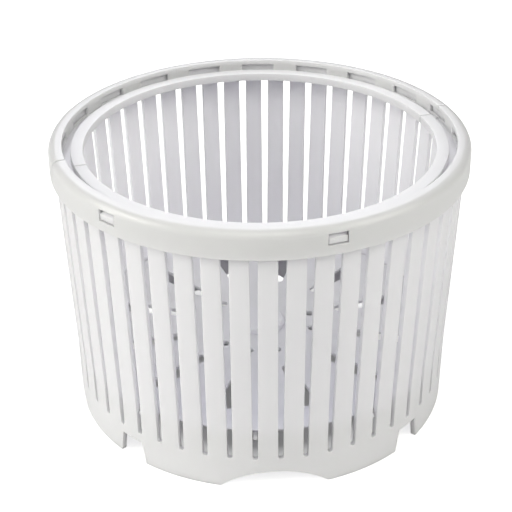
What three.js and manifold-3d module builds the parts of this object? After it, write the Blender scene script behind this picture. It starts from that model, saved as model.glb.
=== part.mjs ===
// Basket of a manual salad spinner: a tapered slotted wall on eight feet, a drained floor with a
// drive hub, and a two-piece clip-on rim. Millimetres, +Z up, origin on the base plane under the hub.
import * as THREE from 'three';
import { mergeVertices } from 'three/addons/utils/BufferGeometryUtils.js';
import Module from 'manifold-3d';

const wasm = await Module();
wasm.setup();

// Overall
const TOP_Z = 167;
const RING_STEPS = 100;
const CLEARANCE = 0.3;

// Slotted wall
const WALL_BASE_OUT = 112.2;
const WALL_BASE_IN = 108.9;
const SKIRT_TOP_OUT = 112.75;
const SKIRT_TOP_IN = 109.6;
const SKIRT_TOP_Z = 42;
const HOOP_OUT = 117.0;
const HOOP_IN = 114.3;
const HOOP_Z = 151;
const HOOP_TOP_Z = 164.5;
const SLOT_COUNT = 50;
const SLOT_FIRST = 88.28;
const SLOT_TOP_Z = 154.4;
const SLOT_BOTTOM_Z = 20;
const SLOT_TOP_WIDTH = 4.5;
const SLOT_BOTTOM_WIDTH = 2.9;

// Feet: four round arches and four narrow notches leave eight feet
const ARCH_FIRST = -86.1;
const ARCH_WIDTH = 60.6;
const ARCH_HEIGHT = 11.4;
const NOTCH_FIRST = -131.1;
const NOTCH_WIDTH_BOTTOM = 20;
const NOTCH_WIDTH_TOP = 15;
const NOTCH_HEIGHT = 14.4;

// Floor
const FLOOR_RADIUS = 109.0;
const FLOOR_TOP_Z = 38;
const FLOOR_THICKNESS = 2.5;
const FLOOR_UNDERCUT = 2;
const DRAIN_COUNT = 12;
const DRAIN_FIRST = 17.6;
const DRAIN_IN = 49;
const DRAIN_OUT = 91;
const DRAIN_WIDTH_IN = 6.8;
const DRAIN_WIDTH_OUT = 10;
const SMALL_HOLE_AT = 32;
const SMALL_HOLE_RADIUS = 2.5;
const RIB_FIRST = 32.6;
const RIB_DEPTH = 6;
const HUB_PAD_RADIUS = 14.5;
const HUB_PAD_HEIGHT = 3;
const SOCKET_RADIUS = 6.2;
const SOCKET_BOSS_RADIUS = 11;
const SOCKET_BOSS_BOTTOM_Z = 20;
const KEY_COUNT = 10;

// Rim
const RIM_OUT = 120;
const RIM_BOTTOM_Z = 151;
const RIM_CORNER = 4.6;
const BAND_IN = HOOP_OUT + CLEARANCE;
const RIDGE_IN = 112;
const RIDGE_WALL_OUT = HOOP_IN - CLEARANCE;
const RIDGE_CEILING_Z = HOOP_TOP_Z + CLEARANCE;
const CHANNEL_FLOOR_Z = 158.8;
const COLLAR_OUT = 107.5;
const COLLAR_IN = 100.5;
const COLLAR_TOP_Z = 162.3;
const COLLAR_WALL = 1.8;
const RIM_UNDERSIDE_Z = 156.5;
const SPLIT_ANGLE = 18.5;
const SPLIT_GAP = 0.9;
const POCKET_COUNT = 20;
const POCKET_WIDTH = 20.5;
const POCKET_BOTTOM_Z = 159.4;
const POCKET_TOP_Z = 164;
const CLIP_COUNT = 6;
const CLIP_FIRST = 49;
const WINDOW_WIDTH = 11;
const WINDOW_BOTTOM_Z = 156.4;
const WINDOW_TOP_Z = 163.2;
const HOOK_WIDTH = 10;
const HOOK_OUT = 119.4;

const radians = THREE.MathUtils.degToRad;

// A closed mesh as a solid for joining and cutting
function toSolid(geometry) {
  const bare = geometry.clone();
  bare.deleteAttribute('normal');
  bare.deleteAttribute('uv');
  const merged = mergeVertices(bare, 1e-4);
  const mesh = new wasm.Mesh({
    numProp: 3,
    vertProperties: new Float32Array(merged.attributes.position.array),
    triVerts: new Uint32Array(merged.index.array),
  });
  mesh.merge();
  return new wasm.Manifold(mesh);
}

// A solid back as a geometry
function toGeometry(solid) {
  const mesh = solid.getMesh();
  const geometry = new THREE.BufferGeometry();
  const points = new Float32Array(mesh.numVert * 3);
  for (let i = 0; i < mesh.numVert; i += 1) {
    for (let j = 0; j < 3; j += 1) {
      points[i * 3 + j] = mesh.vertProperties[i * mesh.numProp + j];
    }
  }
  geometry.setAttribute('position', new THREE.BufferAttribute(points, 3));
  geometry.setIndex(new THREE.BufferAttribute(new Uint32Array(mesh.triVerts), 1));
  geometry.computeVertexNormals();
  return geometry;
}

function joinAll(first, others) {
  return others.reduce((sum, item) => sum.add(item), first);
}

function cutAll(first, others) {
  return others.reduce((rest, item) => rest.subtract(item), first);
}

// A closed (radius, height) profile turned about Z; `startAngle` places the first facet edge
function turned(profile, steps, startAngle = 0) {
  const points = profile.map(([r, z]) => new THREE.Vector2(r, z));
  const geometry = new THREE.LatheGeometry(points, steps);
  geometry.rotateX(Math.PI / 2);
  geometry.rotateZ(radians(startAngle) + Math.PI / 2);
  return toSolid(geometry);
}

function shapeFrom(corners) {
  return new THREE.Shape(corners.map(([x, y]) => new THREE.Vector2(x, y)));
}

// An outline across and up, pushed outwards from radius `from` to radius `to` at one angle
function radialBlock(shape, angle, from, to) {
  const a = radians(angle);
  const out = new THREE.Vector3(Math.cos(a), Math.sin(a), 0);
  const across = new THREE.Vector3(-Math.sin(a), Math.cos(a), 0);
  const up = new THREE.Vector3(0, 0, 1);
  const geometry = new THREE.ExtrudeGeometry(shape, { depth: to - from, bevelEnabled: false });
  const place = new THREE.Matrix4().makeBasis(across, up, out);
  place.setPosition(out.clone().multiplyScalar(from));
  geometry.applyMatrix4(place);
  return toSolid(geometry);
}

// A (radius, height) outline as an upright plate of one thickness at one angle
function radialPlate(shape, angle, thickness) {
  const a = radians(angle);
  const out = new THREE.Vector3(Math.cos(a), Math.sin(a), 0);
  const back = new THREE.Vector3(Math.sin(a), -Math.cos(a), 0);
  const up = new THREE.Vector3(0, 0, 1);
  const geometry = new THREE.ExtrudeGeometry(shape, { depth: thickness, bevelEnabled: false });
  const place = new THREE.Matrix4().makeBasis(out, up, back);
  place.setPosition(back.clone().multiplyScalar(-thickness / 2));
  geometry.applyMatrix4(place);
  return toSolid(geometry);
}

function rectangle(width, bottom, top) {
  return shapeFrom([[-width / 2, bottom], [width / 2, bottom], [width / 2, top], [-width / 2, top]]);
}

function anglesFrom(first, count) {
  return Array.from({ length: count }, (_, i) => first + (360 / count) * i);
}

// ---- Slotted wall ----

// A slot narrows downwards and ends in a round
function slotShape() {
  const top = SLOT_TOP_WIDTH / 2;
  const low = SLOT_BOTTOM_WIDTH / 2;
  const shape = new THREE.Shape();
  shape.moveTo(top, SLOT_TOP_Z);
  shape.lineTo(-top, SLOT_TOP_Z);
  shape.lineTo(-low, SLOT_BOTTOM_Z + low);
  for (let i = 1; i < 4; i += 1) {
    const a = Math.PI + (Math.PI * i) / 4;
    shape.lineTo(low * Math.cos(a), SLOT_BOTTOM_Z + low + low * Math.sin(a));
  }
  shape.lineTo(low, SLOT_BOTTOM_Z + low);
  return shape;
}

function archShape() {
  const half = ARCH_WIDTH / 2;
  const radius = (half * half + ARCH_HEIGHT * ARCH_HEIGHT) / (2 * ARCH_HEIGHT);
  const centre = ARCH_HEIGHT - radius;
  const reach = Math.asin(half / radius);
  const corners = [[-half, -5], [half, -5]];
  for (let i = 0; i <= 10; i += 1) {
    const a = reach - (2 * reach * i) / 10;
    corners.push([radius * Math.sin(a), centre + radius * Math.cos(a)]);
  }
  return shapeFrom(corners);
}

function notchShape() {
  const low = NOTCH_WIDTH_BOTTOM / 2;
  const high = NOTCH_WIDTH_TOP / 2;
  return shapeFrom([[-low - 1.7, -10], [low + 1.7, -10], [high, NOTCH_HEIGHT], [-high, NOTCH_HEIGHT]]);
}

function makeWall() {
  const shell = turned([
    [WALL_BASE_IN, 0],
    [WALL_BASE_OUT - 0.8, 0],
    [WALL_BASE_OUT, 0.8],
    [SKIRT_TOP_OUT, SKIRT_TOP_Z],
    [HOOP_OUT, HOOP_Z],
    [HOOP_OUT, HOOP_TOP_Z],
    [HOOP_IN, HOOP_TOP_Z],
    [HOOP_IN, HOOP_Z],
    [SKIRT_TOP_IN, SKIRT_TOP_Z],
    [WALL_BASE_IN, 0],
  ], RING_STEPS, SLOT_FIRST + 180 / RING_STEPS);
  const slots = anglesFrom(SLOT_FIRST, SLOT_COUNT).map((a) => radialBlock(slotShape(), a, 104, 122));
  const arches = anglesFrom(ARCH_FIRST, 4).map((a) => radialBlock(archShape(), a, 90, 122));
  const notches = anglesFrom(NOTCH_FIRST, 4).map((a) => radialBlock(notchShape(), a, 96, 122));
  const gussetShape = shapeFrom([[104.8, 32.2], [111, 22], [111, 35.2], [104.8, 35.2]]);
  const gussetAngles = anglesFrom(SLOT_FIRST + 180 / SLOT_COUNT, KEY_COUNT);
  const gussets = gussetAngles.map((a) => radialPlate(gussetShape, a, 3));
  const hookRoot = HOOP_IN + 1;
  const hookShape = shapeFrom([
    [hookRoot, WINDOW_BOTTOM_Z + 0.8],
    [HOOK_OUT, WINDOW_BOTTOM_Z + 0.8],
    [HOOK_OUT, WINDOW_BOTTOM_Z + 4],
    [hookRoot, WINDOW_TOP_Z - 0.7],
  ]);
  const hooks = anglesFrom(CLIP_FIRST, CLIP_COUNT).map((a) => radialPlate(hookShape, a, HOOK_WIDTH));
  return joinAll(cutAll(shell, [...slots, ...arches, ...notches]), [...gussets, ...hooks]);
}

// ---- Floor ----

// A drain widens outwards between two round ends
function drainShape() {
  const near = DRAIN_WIDTH_IN / 2;
  const far = DRAIN_WIDTH_OUT / 2;
  const corners = [];
  for (let i = 0; i <= 6; i += 1) {
    const a = -Math.PI / 2 + (Math.PI * i) / 6;
    corners.push([DRAIN_OUT - far + far * Math.cos(a), far * Math.sin(a)]);
  }
  for (let i = 0; i <= 6; i += 1) {
    const a = Math.PI / 2 + (Math.PI * i) / 6;
    corners.push([DRAIN_IN + near + near * Math.cos(a), near * Math.sin(a)]);
  }
  return shapeFrom(corners);
}

function smallHoleShape() {
  const shape = new THREE.Shape();
  shape.absarc(SMALL_HOLE_AT, 0, SMALL_HOLE_RADIUS, 0, 2 * Math.PI);
  return shape;
}

function floorCut(shape, angle) {
  const geometry = new THREE.ExtrudeGeometry(shape, { depth: 8, bevelEnabled: false, curveSegments: 12 });
  geometry.translate(0, 0, FLOOR_TOP_Z - 6);
  geometry.rotateZ(radians(angle));
  return toSolid(geometry);
}

function makeFloor() {
  const under = FLOOR_TOP_Z - FLOOR_THICKNESS;
  const padTop = FLOOR_TOP_Z + HUB_PAD_HEIGHT;
  const disc = turned([
    [0, FLOOR_TOP_Z - 1],
    [SOCKET_RADIUS, FLOOR_TOP_Z - 1],
    [SOCKET_RADIUS, SOCKET_BOSS_BOTTOM_Z + 1],
    [SOCKET_RADIUS + 1, SOCKET_BOSS_BOTTOM_Z],
    [SOCKET_BOSS_RADIUS, SOCKET_BOSS_BOTTOM_Z],
    [SOCKET_BOSS_RADIUS, under],
    [FLOOR_RADIUS - FLOOR_UNDERCUT, under],
    [FLOOR_RADIUS, FLOOR_TOP_Z - 0.5],
    [FLOOR_RADIUS, FLOOR_TOP_Z],
    [HUB_PAD_RADIUS + 0.6, FLOOR_TOP_Z],
    [HUB_PAD_RADIUS, padTop - 0.8],
    [HUB_PAD_RADIUS - 1, padTop],
    [0, padTop],
  ], 100);
  const drainAngles = anglesFrom(DRAIN_FIRST, DRAIN_COUNT);
  const drains = drainAngles.map((angle) => floorCut(drainShape(), angle));
  const smallHoles = drainAngles.map((angle) => floorCut(smallHoleShape(), angle));
  const ribShape = shapeFrom([
    [SOCKET_BOSS_RADIUS - 1, under - RIB_DEPTH - 4],
    [26, under - RIB_DEPTH],
    [98, under - RIB_DEPTH],
    [103, under - 1.5],
    [103, under + 0.5],
    [SOCKET_BOSS_RADIUS - 1, under + 0.5],
  ]);
  const ribs = anglesFrom(RIB_FIRST, DRAIN_COUNT).map((a) => radialPlate(ribShape, a, 2));
  const keyShape = shapeFrom([
    [105.5, under - 2.6],
    [111.2, under - 2.6],
    [111.2, under - 0.4],
    [108.8, under + 0.5],
    [105.5, under + 0.5],
  ]);
  const keys = anglesFrom(SLOT_FIRST, KEY_COUNT).map((a) => radialPlate(keyShape, a, 2.3));
  return joinAll(cutAll(disc, [...drains, ...smallHoles]), [...ribs, ...keys]);
}

// ---- Two-piece rim ----

// Section of the rim: outer band, raised ridge over the wall's hoop, channel and inner collar
function rimProfile() {
  const corner = [];
  for (let i = 0; i <= 3; i += 1) {
    const a = (Math.PI / 2) * (i / 3);
    corner.push([
      RIM_OUT - RIM_CORNER + RIM_CORNER * Math.cos(a),
      TOP_Z - RIM_CORNER + RIM_CORNER * Math.sin(a),
    ]);
  }
  return [
    [BAND_IN, RIM_BOTTOM_Z],
    [RIM_OUT, RIM_BOTTOM_Z],
    ...corner,
    [RIDGE_IN, TOP_Z],
    [RIDGE_IN, CHANNEL_FLOOR_Z],
    [COLLAR_OUT, CHANNEL_FLOOR_Z],
    [COLLAR_OUT, COLLAR_TOP_Z],
    [COLLAR_IN + 0.9, COLLAR_TOP_Z],
    [COLLAR_IN, COLLAR_TOP_Z - 0.9],
    [COLLAR_IN, RIM_UNDERSIDE_Z + 1],
    [COLLAR_IN + COLLAR_WALL, RIM_UNDERSIDE_Z + 1],
    [COLLAR_IN + COLLAR_WALL, COLLAR_TOP_Z - 2],
    [COLLAR_OUT - COLLAR_WALL, COLLAR_TOP_Z - 2],
    [COLLAR_OUT - COLLAR_WALL, RIM_UNDERSIDE_Z],
    [RIDGE_WALL_OUT, RIM_UNDERSIDE_Z],
    [RIDGE_WALL_OUT, RIDGE_CEILING_Z],
    [BAND_IN, RIDGE_CEILING_Z],
    [BAND_IN, RIM_BOTTOM_Z],
  ];
}

// Half of the rim, on the clockwise side of the split line, with one joining tongue
function makeRimHalf() {
  const ring = turned(rimProfile(), RING_STEPS, SLOT_FIRST + 180 / RING_STEPS);
  const boxSide = 300;
  const half = new THREE.BoxGeometry(boxSide, boxSide, boxSide);
  half.translate(0, -boxSide / 2 - SPLIT_GAP / 2, TOP_Z);
  half.rotateZ(radians(SPLIT_ANGLE));
  const windows = anglesFrom(CLIP_FIRST, CLIP_COUNT).map((a) => (
    radialBlock(rectangle(WINDOW_WIDTH, WINDOW_BOTTOM_Z, WINDOW_TOP_Z), a, 115.5, 122)
  ));
  const pockets = anglesFrom(SPLIT_ANGLE, POCKET_COUNT).map((a) => (
    radialBlock(rectangle(POCKET_WIDTH, POCKET_BOTTOM_Z, POCKET_TOP_Z), a, 109.5, 115.5)
  ));
  const body = cutAll(ring.intersect(toSolid(half)), [...windows, ...pockets]);
  const tongueTop = COLLAR_TOP_Z - 2;
  const tongue = new THREE.BoxGeometry(2.4, 12, 2);
  tongue.translate(104, 0, tongueTop - 0.4 - 1);
  const root = new THREE.BoxGeometry(2.4, 5, 1);
  root.translate(104, -3.5, tongueTop - 0.2);
  const pieces = [tongue, root].map((geometry) => toSolid(geometry.rotateZ(radians(SPLIT_ANGLE))));
  return joinAll(body, pieces);
}

// ---- Assembly ----

function whitePlastic(color, roughness) {
  return new THREE.MeshStandardMaterial({ color, roughness, metalness: 0 });
}

function addPart(group, name, geometry, material) {
  const mesh = new THREE.Mesh(geometry, material);
  mesh.name = name;
  group.add(mesh);
  return mesh;
}

const basket = new THREE.Group();
basket.name = 'salad_spinner_basket';

addPart(basket, 'basket_wall', toGeometry(makeWall()), whitePlastic(0xf1f0ec, 0.42));
addPart(basket, 'basket_floor', toGeometry(makeFloor()), whitePlastic(0xeeedf0, 0.45));

const rimHalf = toGeometry(makeRimHalf());
addPart(basket, 'rim_half_front', rimHalf, whitePlastic(0xf3f3f1, 0.38));
const rimBack = addPart(basket, 'rim_half_back', rimHalf.clone(), whitePlastic(0xf3f3f1, 0.38));
rimBack.rotation.z = Math.PI;

export default basket;
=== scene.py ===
import math

import bpy
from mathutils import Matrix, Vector


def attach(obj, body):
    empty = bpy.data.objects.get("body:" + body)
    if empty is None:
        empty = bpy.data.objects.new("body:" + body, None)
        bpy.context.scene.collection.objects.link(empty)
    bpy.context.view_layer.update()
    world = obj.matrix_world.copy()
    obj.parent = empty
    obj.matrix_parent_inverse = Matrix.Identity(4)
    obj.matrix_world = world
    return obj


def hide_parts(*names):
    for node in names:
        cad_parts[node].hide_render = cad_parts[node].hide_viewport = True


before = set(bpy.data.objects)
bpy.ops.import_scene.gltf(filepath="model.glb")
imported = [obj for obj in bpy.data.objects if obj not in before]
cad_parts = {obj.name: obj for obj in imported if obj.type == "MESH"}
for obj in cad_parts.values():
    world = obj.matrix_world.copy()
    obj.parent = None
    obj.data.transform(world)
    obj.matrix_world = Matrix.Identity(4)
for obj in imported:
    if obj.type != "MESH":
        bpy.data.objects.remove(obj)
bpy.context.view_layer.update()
mm = 0.001
print("frame loaded:", sorted(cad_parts))


# Everyday moves: picking a piece up, editing it, finishing it

def clearSelection():
    if bpy.context.mode != "OBJECT":
        bpy.ops.object.mode_set(mode="OBJECT")
    bpy.ops.object.select_all(action="DESELECT")


def pickUp(piece):
    clearSelection()
    piece.select_set(True)
    bpy.context.view_layer.objects.active = piece


def startEditing(piece, kind="EDGE", everything=False):
    pickUp(piece)
    bpy.ops.object.mode_set(mode="EDIT")
    bpy.ops.mesh.select_mode(type=kind)
    bpy.ops.mesh.select_all(action="SELECT" if everything else "DESELECT")


def stopEditing():
    bpy.ops.object.mode_set(mode="OBJECT")


def applyPlace(piece):
    pickUp(piece)
    bpy.ops.object.transform_apply(location=True, rotation=True, scale=True)


def applyModifier(piece, kind, **values):
    pickUp(piece)
    bpy.ops.object.modifier_add(type=kind)
    modifier = piece.modifiers[-1]
    for key, value in values.items():
        setattr(modifier, key, value)
    bpy.ops.object.modifier_apply(modifier=modifier.name)


def copyRound(first, angles, name):
    # copies of one cutter or rib, each with its own mesh, turned about the spin axis and joined
    copies = []
    for angle in angles:
        copy = first.copy()
        copy.data = first.data.copy()
        bpy.context.collection.objects.link(copy)
        copy.rotation_euler.z = math.radians(angle)
        copies.append(copy)
    clearSelection()
    for copy in copies:
        copy.select_set(True)
    bpy.context.view_layer.objects.active = copies[0]
    bpy.ops.object.join()
    joined = bpy.context.view_layer.objects.active
    joined.name = name
    applyPlace(joined)
    bpy.data.objects.remove(first)
    return joined


def everyDegrees(first, count):
    return [first + 360 / count * i for i in range(count)]


def combine(piece, other, operation):
    applyModifier(piece, "BOOLEAN", object=other, operation=operation, solver="EXACT")
    bpy.data.objects.remove(other)


# A ring, closed tube or disc made by pulling one circle of edges along an outline of (radius, height) in mm
def pulledRing(name, outline, sides, firstAngle, capped=False):
    startRadius, startHeight = outline[0]
    bpy.ops.mesh.primitive_circle_add(
        vertices=sides, radius=startRadius * mm, fill_type="NGON" if capped else "NOTHING",
        location=(0, 0, startHeight * mm))
    piece = bpy.context.object
    piece.name = name
    first = piece.data.vertices[0].co
    piece.rotation_euler.z = math.radians(firstAngle) - math.atan2(first.y, first.x)
    applyPlace(piece)
    startEditing(piece, "EDGE", everything=True)
    if capped:
        bpy.ops.mesh.delete(type="ONLY_FACE")
        bpy.ops.mesh.select_all(action="SELECT")
    for (r0, z0), (r1, z1) in zip(outline, outline[1:]):
        bpy.ops.mesh.extrude_region_move(TRANSFORM_OT_translate={"value": (0, 0, (z1 - z0) * mm)})
        bpy.ops.transform.resize(value=(r1 / r0, r1 / r0, 1), center_override=(0, 0, z1 * mm))
    if capped:
        bpy.ops.mesh.edge_face_add()
        stopEditing()
        for vertex in piece.data.vertices:
            vertex.select = vertex.index < sides
        for edge in piece.data.edges:
            edge.select = all(index < sides for index in edge.vertices)
        for face in piece.data.polygons:
            face.select = False
        bpy.ops.object.mode_set(mode="EDIT")
        bpy.ops.mesh.edge_face_add()
    bpy.ops.mesh.select_all(action="SELECT")
    bpy.ops.mesh.remove_doubles(threshold=0.001 * mm)
    bpy.ops.mesh.normals_make_consistent(inside=False)
    stopEditing()
    return piece


# A flat outline drawn by pulling a point along it, then filled and given its depth
def pulledPlate(name, outline, depth):
    # outline is in mm, in the XZ plane for y = 0; depth is along Y and centred
    bpy.ops.mesh.primitive_plane_add(size=1 * mm, location=(0, 0, 0))
    piece = bpy.context.object
    piece.name = name
    startEditing(piece, "VERT", everything=True)
    bpy.ops.mesh.merge(type="CENTER")
    bpy.ops.mesh.select_all(action="SELECT")
    across, up = outline[0]
    bpy.ops.transform.translate(value=(across * mm, -depth / 2 * mm, up * mm))
    for (x0, z0), (x1, z1) in zip(outline, outline[1:]):
        bpy.ops.mesh.extrude_region_move(
            TRANSFORM_OT_translate={"value": ((x1 - x0) * mm, 0, (z1 - z0) * mm)})
    bpy.ops.mesh.select_all(action="SELECT")
    bpy.ops.mesh.edge_face_add()
    bpy.ops.mesh.extrude_region_move(TRANSFORM_OT_translate={"value": (0, depth * mm, 0)})
    bpy.ops.mesh.select_all(action="SELECT")
    bpy.ops.mesh.normals_make_consistent(inside=False)
    stopEditing()
    return piece


def turnPlace(piece, turns, shift=(0, 0, 0)):
    piece.rotation_euler = [math.radians(angle) for angle in turns]
    piece.location = [value * mm for value in shift]
    applyPlace(piece)


def cleanSlivers(piece, gap=0.02):
    startEditing(piece, "VERT", everything=True)
    bpy.ops.mesh.remove_doubles(threshold=gap * mm)
    stopEditing()


def softenEdges(piece, width, segments=2, sharpest=32):
    applyModifier(
        piece, "BEVEL", width=width * mm, segments=segments, limit_method="ANGLE",
        angle_limit=math.radians(sharpest), use_clamp_overlap=False, miter_outer="MITER_SHARP")
    pickUp(piece)
    bpy.ops.object.shade_smooth_by_angle(angle=math.radians(45))
    applyModifier(piece, "WEIGHTED_NORMAL", weight=60, keep_sharp=True)


def onTheBasket(piece, node):
    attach(piece, "root")
    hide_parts(node)
    print("made", piece.name, "with", len(piece.data.polygons), "faces")


# Slotted wall

# lengths in mm and angles in degrees; each cut is its middle radius and its depth
wallShape = {
    "sides": 200,
    "baseOut": 112.2, "baseIn": 108.9,
    "skirtOut": 112.75, "skirtIn": 109.6, "skirtTop": 42.0,
    "hoopOut": 117.0, "hoopIn": 114.3, "hoopFrom": 151.0, "hoopTop": 164.5,
    "slots": 50, "firstSlot": 88.28, "slotTop": 154.4, "slotBottom": 20.0,
    "slotWideTop": 4.5, "slotWideBottom": 2.9,
    "arches": 4, "firstArch": -86.1, "archWide": 60.6, "archHigh": 11.4,
    "notches": 4, "firstNotch": -131.1, "notchLow": 20.0, "notchHigh": 15.0, "notchTall": 14.4,
    "notchFlare": 1.7,
    "slotCut": (113, 20), "archCut": (108, 40), "notchCut": (110, 30),
    "hooks": 6, "firstHook": 49.0, "hookWide": 10.0,
    "hookBottom": 157.2, "hookTop": 162.5, "hookOut": 119.4,
    "gusset": [(104.8, 32.2), (111.0, 22.0), (111.0, 35.2), (104.8, 35.2)],
    "gussets": 10, "gussetThick": 3,
    "hookRoot": 115.3, "hookLip": 3.2,
    "edge": 0.35,
}


def makeWall():
    s = wallShape
    wall = pulledRing("basketWall", [
        (s["baseIn"], 0), (s["baseOut"], 0), (s["skirtOut"], s["skirtTop"]),
        (s["hoopOut"], s["hoopFrom"]), (s["hoopOut"], s["hoopTop"]), (s["hoopIn"], s["hoopTop"]),
        (s["hoopIn"], s["hoopFrom"]), (s["skirtIn"], s["skirtTop"]), (s["baseIn"], 0),
    ], s["sides"], s["firstSlot"])

    # one slot cutter, wider at the top and round below
    top, low = s["slotWideTop"] / 2, s["slotWideBottom"] / 2
    outline = [(top, s["slotTop"]), (-top, s["slotTop"])]
    for i in range(9):
        turn = math.pi + math.pi * i / 8
        outline.append((low * math.cos(turn), s["slotBottom"] + low + low * math.sin(turn)))
    cutRadius, cutDepth = s["slotCut"]
    slot = pulledPlate("slotCutter", outline, cutDepth)
    turnPlace(slot, (0, 0, -90), (cutRadius, 0, 0))
    slots = copyRound(slot, everyDegrees(s["firstSlot"], s["slots"]), "slotCutters")
    combine(wall, slots, "DIFFERENCE")

    half = s["archWide"] / 2
    radius = (half ** 2 + s["archHigh"] ** 2) / (2 * s["archHigh"])
    reach = math.asin(half / radius)
    outline = [(-half - 1, -6), (half + 1, -6)]
    for i in range(25):
        turn = reach - 2 * reach * i / 24
        outline.append((radius * math.sin(turn), s["archHigh"] - radius + radius * math.cos(turn)))
    cutRadius, cutDepth = s["archCut"]
    arch = pulledPlate("archCutter", outline, cutDepth)
    turnPlace(arch, (0, 0, -90), (cutRadius, 0, 0))
    arches = copyRound(arch, everyDegrees(s["firstArch"], s["arches"]), "archCutters")
    combine(wall, arches, "DIFFERENCE")

    low, high, tall = s["notchLow"] / 2, s["notchHigh"] / 2, s["notchTall"]
    flare = s["notchFlare"]
    cutRadius, cutDepth = s["notchCut"]
    notch = pulledPlate("notchCutter", [
        (-low - flare, -10), (low + flare, -10), (high, tall), (-high, tall)], cutDepth)
    turnPlace(notch, (0, 0, -90), (cutRadius, 0, 0))
    notches = copyRound(notch, everyDegrees(s["firstNotch"], s["notches"]), "notchCutters")
    combine(wall, notches, "DIFFERENCE")

    # gussets that carry the floor, and the hooks that hold the rim
    gusset = pulledPlate("gusset", s["gusset"], s["gussetThick"])
    pitch = 360 / s["slots"]
    gussets = copyRound(gusset, everyDegrees(s["firstSlot"] + pitch / 2, s["gussets"]), "gussets")
    combine(wall, gussets, "UNION")
    hook = pulledPlate("hook", [
        (s["hookRoot"], s["hookBottom"]), (s["hookOut"], s["hookBottom"]),
        (s["hookOut"], s["hookBottom"] + s["hookLip"]), (s["hookRoot"], s["hookTop"])], s["hookWide"])
    combine(wall, copyRound(hook, everyDegrees(s["firstHook"], s["hooks"]), "hooks"), "UNION")

    cleanSlivers(wall)
    softenEdges(wall, s["edge"])
    return wall


basketWall = makeWall()
onTheBasket(basketWall, "basket_wall")


# Floor

floorShape = {
    "sides": 120,
    "radius": 109.0, "top": 38.0, "thick": 2.5, "undercut": 2.0,
    "drains": 12, "firstDrain": 17.6, "drainIn": 49.0, "drainOut": 91.0,
    "drainNarrow": 6.8, "drainWide": 10.0,
    "smallHoleAt": 32.0, "smallHoleRadius": 2.5,
    "firstRib": 32.6, "ribDeep": 6.0, "ribThick": 2, "ribFlare": 4, "ribTip": 1.5,
    "ribFrom": 26, "ribTo": 98, "ribEnd": 103,
    "keys": 10, "keyIn": 105.5, "keyShoulder": 108.8, "keyOut": 111.2,
    "keyDeep": 2.6, "keyDrop": 0.4, "keyThick": 2.3,
    "overlap": 0.5,
    "padRadius": 14.5, "padHigh": 3.0,
    "socketRadius": 6.2, "bossRadius": 11.0, "bossBottom": 20.0,
    "edge": 0.35,
}


def makeFloor():
    s = floorShape
    under = s["top"] - s["thick"]
    padTop = s["top"] + s["padHigh"]
    disc = pulledRing("basketFloor", [
        (s["socketRadius"], s["top"] - 1), (s["socketRadius"], s["bossBottom"] + 1),
        (s["socketRadius"] + 1, s["bossBottom"]), (s["bossRadius"], s["bossBottom"]),
        (s["bossRadius"], under), (s["radius"] - s["undercut"], under),
        (s["radius"], s["top"] - 0.5), (s["radius"], s["top"]),
        (s["padRadius"] + 0.6, s["top"]), (s["padRadius"], padTop - 0.8), (s["padRadius"] - 1, padTop),
    ], s["sides"], 0, capped=True)

    # wide drains with round ends, and one small hole inside each
    narrow, wide = s["drainNarrow"] / 2, s["drainWide"] / 2
    outline = []
    for i in range(13):
        turn = -math.pi / 2 + math.pi * i / 12
        outline.append((s["drainOut"] - wide + wide * math.cos(turn), wide * math.sin(turn)))
    for i in range(13):
        turn = math.pi / 2 + math.pi * i / 12
        outline.append((s["drainIn"] + narrow + narrow * math.cos(turn), narrow * math.sin(turn)))
    drain = pulledPlate("drainCutter", outline, 10)
    turnPlace(drain, (-90, 0, 0), (0, 0, s["top"]))
    drains = copyRound(drain, everyDegrees(s["firstDrain"], s["drains"]), "drainCutters")
    combine(disc, drains, "DIFFERENCE")
    outline = [(s["smallHoleAt"] + s["smallHoleRadius"] * math.cos(math.pi * i / 12),
                s["smallHoleRadius"] * math.sin(math.pi * i / 12)) for i in range(24)]
    hole = pulledPlate("holeCutter", outline, 10)
    turnPlace(hole, (-90, 0, 0), (0, 0, s["top"]))
    holes = copyRound(hole, everyDegrees(s["firstDrain"], s["drains"]), "holeCutters")
    combine(disc, holes, "DIFFERENCE")

    # ribs and keys reach a little way into the plate, so that they join it
    boss, joined = s["bossRadius"] - 1, under + s["overlap"]
    ribLow = under - s["ribDeep"]
    rib = pulledPlate("rib", [
        (boss, ribLow - s["ribFlare"]), (s["ribFrom"], ribLow), (s["ribTo"], ribLow),
        (s["ribEnd"], under - s["ribTip"]), (s["ribEnd"], joined), (boss, joined)], s["ribThick"])
    combine(disc, copyRound(rib, everyDegrees(s["firstRib"], s["drains"]), "ribs"), "UNION")
    key = pulledPlate("key", [
        (s["keyIn"], under - s["keyDeep"]), (s["keyOut"], under - s["keyDeep"]),
        (s["keyOut"], under - s["keyDrop"]), (s["keyShoulder"], joined), (s["keyIn"], joined)],
        s["keyThick"])
    combine(disc, copyRound(key, everyDegrees(wallShape["firstSlot"], s["keys"]), "keys"), "UNION")
    cleanSlivers(disc)
    softenEdges(disc, s["edge"])
    return disc


basketFloor = makeFloor()
onTheBasket(basketFloor, "basket_floor")


# Two-piece rim

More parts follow.
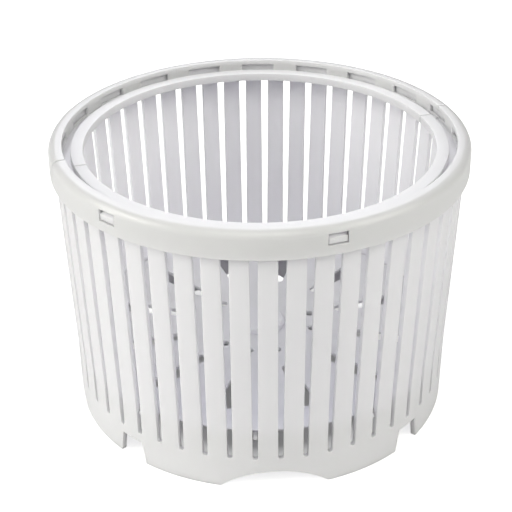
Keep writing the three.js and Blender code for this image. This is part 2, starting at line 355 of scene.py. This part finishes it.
# each cut, tongue and root is upright: its last two numbers are its inner and outer radius
rimShape = {
    "sides": 240,
    "out": 119.95, "bottom": 151.0, "top": 167.0, "corner": 4.6,
    "bandIn": 117.3, "ridgeIn": 112.0, "ridgeWallOut": 114.0, "ridgeCeiling": 164.8,
    "channelFloor": 158.8, "collarOut": 107.5, "collarIn": 100.5, "collarTop": 162.3,
    "collarWall": 1.8, "underside": 156.5,
    "split": 18.5, "splitGap": 0.9,
    "pockets": 20, "pocketWide": 20.5,
    "pocketBottom": 159.4, "pocketTop": 164.0,
    "windows": 6, "firstWindow": 49.0, "windowWide": 11.0,
    "windowBottom": 156.4, "windowTop": 163.2,
    "pocketCut": (109.5, 115.5), "windowCut": (115.5, 122),
    "tongue": (12, 157.9, 159.9, 102.8, 105.2), "tongueRoot": (5, 159.6, 160.6, 102.8, 105.2),
    "rootShift": -3.5,
    "edge": 0.3,
}


def boxCutter(name, wide, bottom, top, inner, outer):
    # an upright box across one radius, from the inner to the outer radius
    return pulledPlate(name, [(inner, bottom), (outer, bottom), (outer, top), (inner, top)], wide)


def makeRimHalf(name, turn):
    s = rimShape
    outline = [(s["bandIn"], s["bottom"]), (s["out"], s["bottom"])]
    for i in range(7):
        a = math.pi / 2 * i / 6
        outline.append((s["out"] - s["corner"] + s["corner"] * math.cos(a),
                        s["top"] - s["corner"] + s["corner"] * math.sin(a)))
    outline += [
        (s["ridgeIn"], s["top"]), (s["ridgeIn"], s["channelFloor"]), (s["collarOut"], s["channelFloor"]),
        (s["collarOut"], s["collarTop"]), (s["collarIn"], s["collarTop"]),
        (s["collarIn"], s["underside"] + 1), (s["collarIn"] + s["collarWall"], s["underside"] + 1),
        (s["collarIn"] + s["collarWall"], s["collarTop"] - 2),
        (s["collarOut"] - s["collarWall"], s["collarTop"] - 2),
        (s["collarOut"] - s["collarWall"], s["underside"]), (s["ridgeWallOut"], s["underside"]),
        (s["ridgeWallOut"], s["ridgeCeiling"]), (s["bandIn"], s["ridgeCeiling"]),
        (s["bandIn"], s["bottom"]),
    ]
    ring = pulledRing(name, outline, s["sides"], s["split"])

    pocket = boxCutter(
        "pocketCutter", s["pocketWide"], s["pocketBottom"], s["pocketTop"], *s["pocketCut"])
    pockets = copyRound(pocket, everyDegrees(s["split"], s["pockets"]), "pocketCutters")
    combine(ring, pockets, "DIFFERENCE")
    window = boxCutter(
        "windowCutter", s["windowWide"], s["windowBottom"], s["windowTop"], *s["windowCut"])
    windows = copyRound(window, everyDegrees(s["firstWindow"], s["windows"]), "windowCutters")
    combine(ring, windows, "DIFFERENCE")

    # one half is kept, on the clockwise side of the split
    across = math.radians(s["split"] + turn)
    away = Vector((-math.sin(across), math.cos(across), 0))
    startEditing(ring, "EDGE", everything=True)
    bpy.ops.mesh.bisect(
        plane_co=away * (-s["splitGap"] / 2 * mm), plane_no=away, use_fill=True, clear_outer=True,
        threshold=0.0001 * mm)
    stopEditing()

    tongue = boxCutter("tongue", *s["tongue"])
    root = boxCutter("tongueRoot", *s["tongueRoot"])
    turnPlace(root, (0, 0, 0), (0, s["rootShift"], 0))
    for part in (tongue, root):
        turnPlace(part, (0, 0, s["split"] + turn))
        combine(ring, part, "UNION")
    cleanSlivers(ring)
    softenEdges(ring, s["edge"])
    return ring


rimFront = makeRimHalf("rimHalfFront", 0)
onTheBasket(rimFront, "rim_half_front")
rimBack = makeRimHalf("rimHalfBack", 180)
onTheBasket(rimBack, "rim_half_back")


# Shared surface effects, as node groups that give only values and colours

def newGroup(name, inputs, outputs):
    group = bpy.data.node_groups.new(name, "ShaderNodeTree")
    for label, kind, value in inputs:
        socket = group.interface.new_socket(label, in_out="INPUT", socket_type=kind)
        socket.default_value = value
    for label, kind in outputs:
        group.interface.new_socket(label, in_out="OUTPUT", socket_type=kind)
    return group, group.nodes.new("NodeGroupInput"), group.nodes.new("NodeGroupOutput")


def addNode(tree, kind, settings=None, **sockets):
    node = tree.nodes.new(kind)
    for key, value in (settings or {}).items():
        setattr(node, key, value)
    for label, value in sockets.items():
        socket = node.inputs[label.replace("_", " ")]
        if isinstance(value, bpy.types.NodeSocket):
            tree.links.new(value, socket)
        else:
            socket.default_value = value
    return node


def remap(tree, value, fromLow, fromHigh, low, high):
    node = tree.nodes.new("ShaderNodeMapRange")
    tree.links.new(value, node.inputs["Value"])
    for label, number in (("From Min", fromLow), ("From Max", fromHigh), ("To Min", low), ("To Max", high)):
        if isinstance(number, bpy.types.NodeSocket):
            tree.links.new(number, node.inputs[label])
        else:
            node.inputs[label].default_value = number
    return node.outputs["Result"]


def plus(tree, first, second, operation="ADD"):
    node = tree.nodes.new("ShaderNodeMath")
    node.operation = operation
    for socket, value in zip(node.inputs, (first, second)):
        if isinstance(value, bpy.types.NodeSocket):
            tree.links.new(value, socket)
        else:
            socket.default_value = value
    return node.outputs["Value"]


def makeMouldSkin():
    # fine orange-peel of a moulded face, with the slow waviness of thin walls
    group, given, result = newGroup("mouldSkin", [
        ("Peel Size", "NodeSocketFloat", 900.0), ("Peel", "NodeSocketFloat", 0.5),
        ("Waviness", "NodeSocketFloat", 0.5)], [("Height", "NodeSocketFloat")])
    place = addNode(group, "ShaderNodeTexCoord").outputs["Object"]
    peel = addNode(group, "ShaderNodeTexNoise", Vector=place, Scale=given.outputs["Peel Size"], Detail=2.0)
    wave = addNode(group, "ShaderNodeTexNoise", Vector=place, Scale=38.0, Detail=1.0)
    fine = plus(group, peel.outputs["Fac"], given.outputs["Peel"], "MULTIPLY")
    slow = plus(group, wave.outputs["Fac"], given.outputs["Waviness"], "MULTIPLY")
    group.links.new(plus(group, fine, slow), result.inputs["Height"])
    return group


def makeHandledSheen():
    # roughness: vertical draw marks from the mould and soft patches where hands polish it
    group, given, result = newGroup("handledSheen", [
        ("Roughness", "NodeSocketFloat", 0.4), ("Patches", "NodeSocketFloat", 0.06),
        ("Draw Marks", "NodeSocketFloat", 0.05)], [("Roughness", "NodeSocketFloat")])
    place = addNode(group, "ShaderNodeTexCoord").outputs["Object"]
    stretched = addNode(group, "ShaderNodeMapping", Vector=place)
    stretched.inputs["Scale"].default_value = (1, 1, 0.04)
    patches = addNode(group, "ShaderNodeTexNoise", Vector=place, Scale=21.0, Detail=3.0)
    marks = addNode(group, "ShaderNodeTexNoise", Vector=stretched.outputs["Vector"], Scale=1300.0,
                    Detail=2.0)
    patchy = plus(group, patches.outputs["Fac"], 0.5, "SUBTRACT")
    patchy = plus(group, patchy, given.outputs["Patches"], "MULTIPLY")
    streaky = plus(group, marks.outputs["Fac"], 0.5, "SUBTRACT")
    streaky = plus(group, streaky, given.outputs["Draw Marks"], "MULTIPLY")
    both = plus(group, patchy, streaky)
    group.links.new(plus(group, given.outputs["Roughness"], plus(group, both, 2.0, "MULTIPLY")),
                    result.inputs["Roughness"])
    return group


def makeMilkyToneAndPaintedShade():
    # colour: slow milky clouds in the resin, and painted shade: a faint grey that ambient occlusion lays
    # into inside edges and joints
    group, given, result = newGroup("milkyToneAndPaintedShade", [
        ("Colour", "NodeSocketColor", (0.9, 0.9, 0.9, 1)),
        ("Clouded", "NodeSocketColor", (0.86, 0.86, 0.86, 1)),
        ("Corner Colour", "NodeSocketColor", (0.6, 0.6, 0.6, 1)), ("Corners", "NodeSocketFloat", 0.3),
        ("Corner Reach", "NodeSocketFloat", 0.0025)], [("Colour", "NodeSocketColor")])
    place = addNode(group, "ShaderNodeTexCoord").outputs["Object"]
    clouds = addNode(group, "ShaderNodeTexNoise", Vector=place, Scale=17.0, Detail=4.0)
    amount = remap(group, clouds.outputs["Fac"], 0.35, 0.68, 0.0, 1.0)
    body = addNode(group, "ShaderNodeMixRGB", Fac=amount, Color1=given.outputs["Colour"],
                   Color2=given.outputs["Clouded"])
    # painted shade: ambient occlusion darkens inside edges and joints toward the shade colour
    cornerOcclusion = addNode(group, "ShaderNodeAmbientOcclusion", {"samples": 6},
                     Distance=given.outputs["Corner Reach"])
    shadeAmount = remap(group, cornerOcclusion.outputs["AO"], 0.35, 0.95, given.outputs["Corners"], 0.0)
    paintedCornerShade = addNode(group, "ShaderNodeMixRGB", Fac=shadeAmount, Color1=body.outputs["Color"],
                    Color2=given.outputs["Corner Colour"])
    group.links.new(paintedCornerShade.outputs["Color"], result.inputs["Colour"])
    return group


mouldSkin, handledSheen, milkyToneAndPaintedShade = makeMouldSkin(), makeHandledSheen(), makeMilkyToneAndPaintedShade()


# White polypropylene: one recipe, with its own numbers on each part. The lavender in the wall and floor
# colours is a painted cool cast for the cool light inside the basket.

# on each part, the corner colour with its weight and reach is painted shade in inside edges and joints
wallPlastic = {
    "colour": (0.885, 0.88, 0.92), "clouded": (0.872, 0.867, 0.908), "corner": (0.62, 0.61, 0.66),
    "corners": 0.25, "cornerShadeReach": 0.0025, "roughness": 0.36, "patches": 0.05, "drawMarks": 0.05,
    "peelSize": 1100.0, "peel": 0.25, "waviness": 0.9, "bumpStrength": 0.25, "bumpDepth": 0.0002,
    "milk": 0.7, "milkDepth": 0.005, "coat": 0.1,
}
# painted shade and cool cast: the floor's copy is a little darker and more lavender, as the inside of the
# basket looks
floorPlastic = dict(wallPlastic, **{
    "colour": (0.87, 0.865, 0.915), "clouded": (0.85, 0.845, 0.9), "corners": 0.3,
    "roughness": 0.42, "drawMarks": 0.0, "peelSize": 800.0, "peel": 0.5,
})
# painted shade: the rim's copy is darker than the wall's to tone down its upward faces, which catch more of
# the light
rimPlastic = dict(wallPlastic, **{
    "colour": (0.82, 0.818, 0.835), "clouded": (0.805, 0.803, 0.82), "corner": (0.6, 0.6, 0.62),
    "corners": 0.2, "cornerShadeReach": 0.0018, "roughness": 0.3, "drawMarks": 0.02, "waviness": 0.6,
    "coat": 0.15,
})


def whitePlastic(name, s):
    material = bpy.data.materials.new(name)
    material.use_nodes = True
    tree = material.node_tree
    shader = tree.nodes["Principled BSDF"]
    tone = addNode(tree, "ShaderNodeGroup", {"node_tree": milkyToneAndPaintedShade}, Colour=(*s["colour"], 1),
                   Clouded=(*s["clouded"], 1), Corner_Colour=(*s["corner"], 1), Corners=s["corners"],
                   Corner_Reach=s["cornerShadeReach"])
    sheen = addNode(tree, "ShaderNodeGroup", {"node_tree": handledSheen}, Roughness=s["roughness"],
                    Patches=s["patches"], Draw_Marks=s["drawMarks"])
    skin = addNode(tree, "ShaderNodeGroup", {"node_tree": mouldSkin}, Peel_Size=s["peelSize"],
                   Peel=s["peel"], Waviness=s["waviness"])
    bump = addNode(tree, "ShaderNodeBump", Strength=s["bumpStrength"], Distance=s["bumpDepth"],
                   Height=skin.outputs["Height"])
    tree.links.new(tone.outputs["Colour"], shader.inputs["Base Color"])
    tree.links.new(sheen.outputs["Roughness"], shader.inputs["Roughness"])
    tree.links.new(bump.outputs["Normal"], shader.inputs["Normal"])
    shader.inputs["IOR"].default_value = 1.49
    shader.inputs["Coat Weight"].default_value = s["coat"]
    shader.inputs["Coat Roughness"].default_value = 0.15
    shader.inputs["Subsurface Weight"].default_value = s["milk"]
    shader.inputs["Subsurface Radius"].default_value = (1.0, 0.95, 1.0)
    shader.inputs["Subsurface Scale"].default_value = s["milkDepth"]
    return material


wallFinish = whitePlastic("wallPlastic", wallPlastic)
floorFinish = whitePlastic("floorPlastic", floorPlastic)
rimFinish = whitePlastic("rimPlastic", rimPlastic)
for piece, finish in ((basketWall, wallFinish), (basketFloor, floorFinish),
                      (rimFront, rimFinish), (rimBack, rimFinish)):
    piece.data.materials.clear()
    piece.data.materials.append(finish)
print("materials made")


# Floor to stand on, light and camera

# the floor's glow numbers give a painted glow seen only by the camera, faded to a painted shade under the
# basket
studio = {
    "floorSize": 8, "floorColour": (0.82, 0.82, 0.82), "floorRoughness": 0.9, "floorGloss": 0.1,
    "floorGlow": 0.7, "glowUnder": 0.12, "glowFrom": 0.075, "glowFull": 0.095,
    "surround": 0.04, "surroundSeen": 1.0, "surroundColour": (1.0, 1.0, 1.0),
    "panelAway": 3.0, "panelSize": 2.2, "panelAim": 0.09,
}
# each soft panel: angle round the basket, height angle, power, colour
panels = {
    "frontPanel": (-92, 52, 29.0, (1.0, 0.995, 0.95)),
    "leftPanel": (-165, 28, 58.0, (1.0, 0.995, 0.94)),
    "rightPanel": (-18, 35, 38.0, (1.0, 0.995, 0.93)),
    "backPanel": (95, 42, 36.0, (0.92, 0.92, 1.0)),
}

clearSelection()
bpy.ops.mesh.primitive_plane_add(size=studio["floorSize"], location=(0, 0, 0))
studioFloor = bpy.context.object
studioFloor.name = "studioFloor"
floorWhite = bpy.data.materials.new("studioFloorWhite")
floorWhite.use_nodes = True
floorShader = floorWhite.node_tree.nodes["Principled BSDF"]
floorShader.inputs["Base Color"].default_value = (*studio["floorColour"], 1)
floorShader.inputs["Roughness"].default_value = studio["floorRoughness"]
floorShader.inputs["Specular IOR Level"].default_value = studio["floorGloss"]
# the ground glows for the camera only, a painted glow; under the basket the glow fades to a painted shade
# disc, so the drains stay dark
floorTree = floorWhite.node_tree
floorPlace = addNode(floorTree, "ShaderNodeTexCoord").outputs["Object"]
fromAxis = addNode(floorTree, "ShaderNodeVectorMath", {"operation": "LENGTH"}, Vector=floorPlace)
glow = remap(floorTree, fromAxis.outputs["Value"], studio["glowFrom"], studio["glowFull"],
             studio["glowUnder"], 1.0)
seenDirectly = addNode(floorTree, "ShaderNodeLightPath").outputs["Is Camera Ray"]
glow = plus(floorTree, glow, seenDirectly, "MULTIPLY")
floorTree.links.new(glow, floorShader.inputs["Emission Color"])
floorShader.inputs["Emission Strength"].default_value = studio["floorGlow"]
studioFloor.data.materials.append(floorWhite)

# white to the camera, nearly dark as a light
world = bpy.data.worlds.new("studioSurround")
bpy.context.scene.world = world
world.use_nodes = True
worldTree = world.node_tree
surround = worldTree.nodes["Background"]
surround.inputs["Color"].default_value = (*studio["surroundColour"], 1)
worldSeen = addNode(worldTree, "ShaderNodeLightPath").outputs["Is Camera Ray"]
worldStrength = remap(worldTree, worldSeen, 0.0, 1.0, studio["surround"], studio["surroundSeen"])
worldTree.links.new(worldStrength, surround.inputs["Strength"])

for name, (around, height, power, colour) in panels.items():
    turn, up = math.radians(around), math.radians(height)
    away = studio["panelAway"] * math.cos(up)
    place = Vector((away * math.cos(turn), away * math.sin(turn),
                    studio["panelAim"] + studio["panelAway"] * math.sin(up)))
    aim = (Vector((0, 0, studio["panelAim"])) - place).to_track_quat("-Z", "Y").to_euler()
    bpy.ops.object.light_add(type="AREA", location=place, rotation=aim)
    panel = bpy.context.object
    panel.name = name
    panel.data.shape = "DISK"
    panel.data.size = studio["panelSize"]
    panel.data.energy = power
    panel.data.color = colour
print("lit with", len(panels), "panels")

bpy.context.scene.view_settings.view_transform = "Standard"

cameraSetup = {"place": (0, -0.65281, 0.46058), "turn": (60.0887, 0.38958, 0.0024), "lens": 87.851}
bpy.ops.object.camera_add(
    location=cameraSetup["place"], rotation=[math.radians(a) for a in cameraSetup["turn"]])
camera = bpy.context.object
camera.data.lens = cameraSetup["lens"]
camera.data.sensor_width = 36
bpy.context.scene.camera = camera
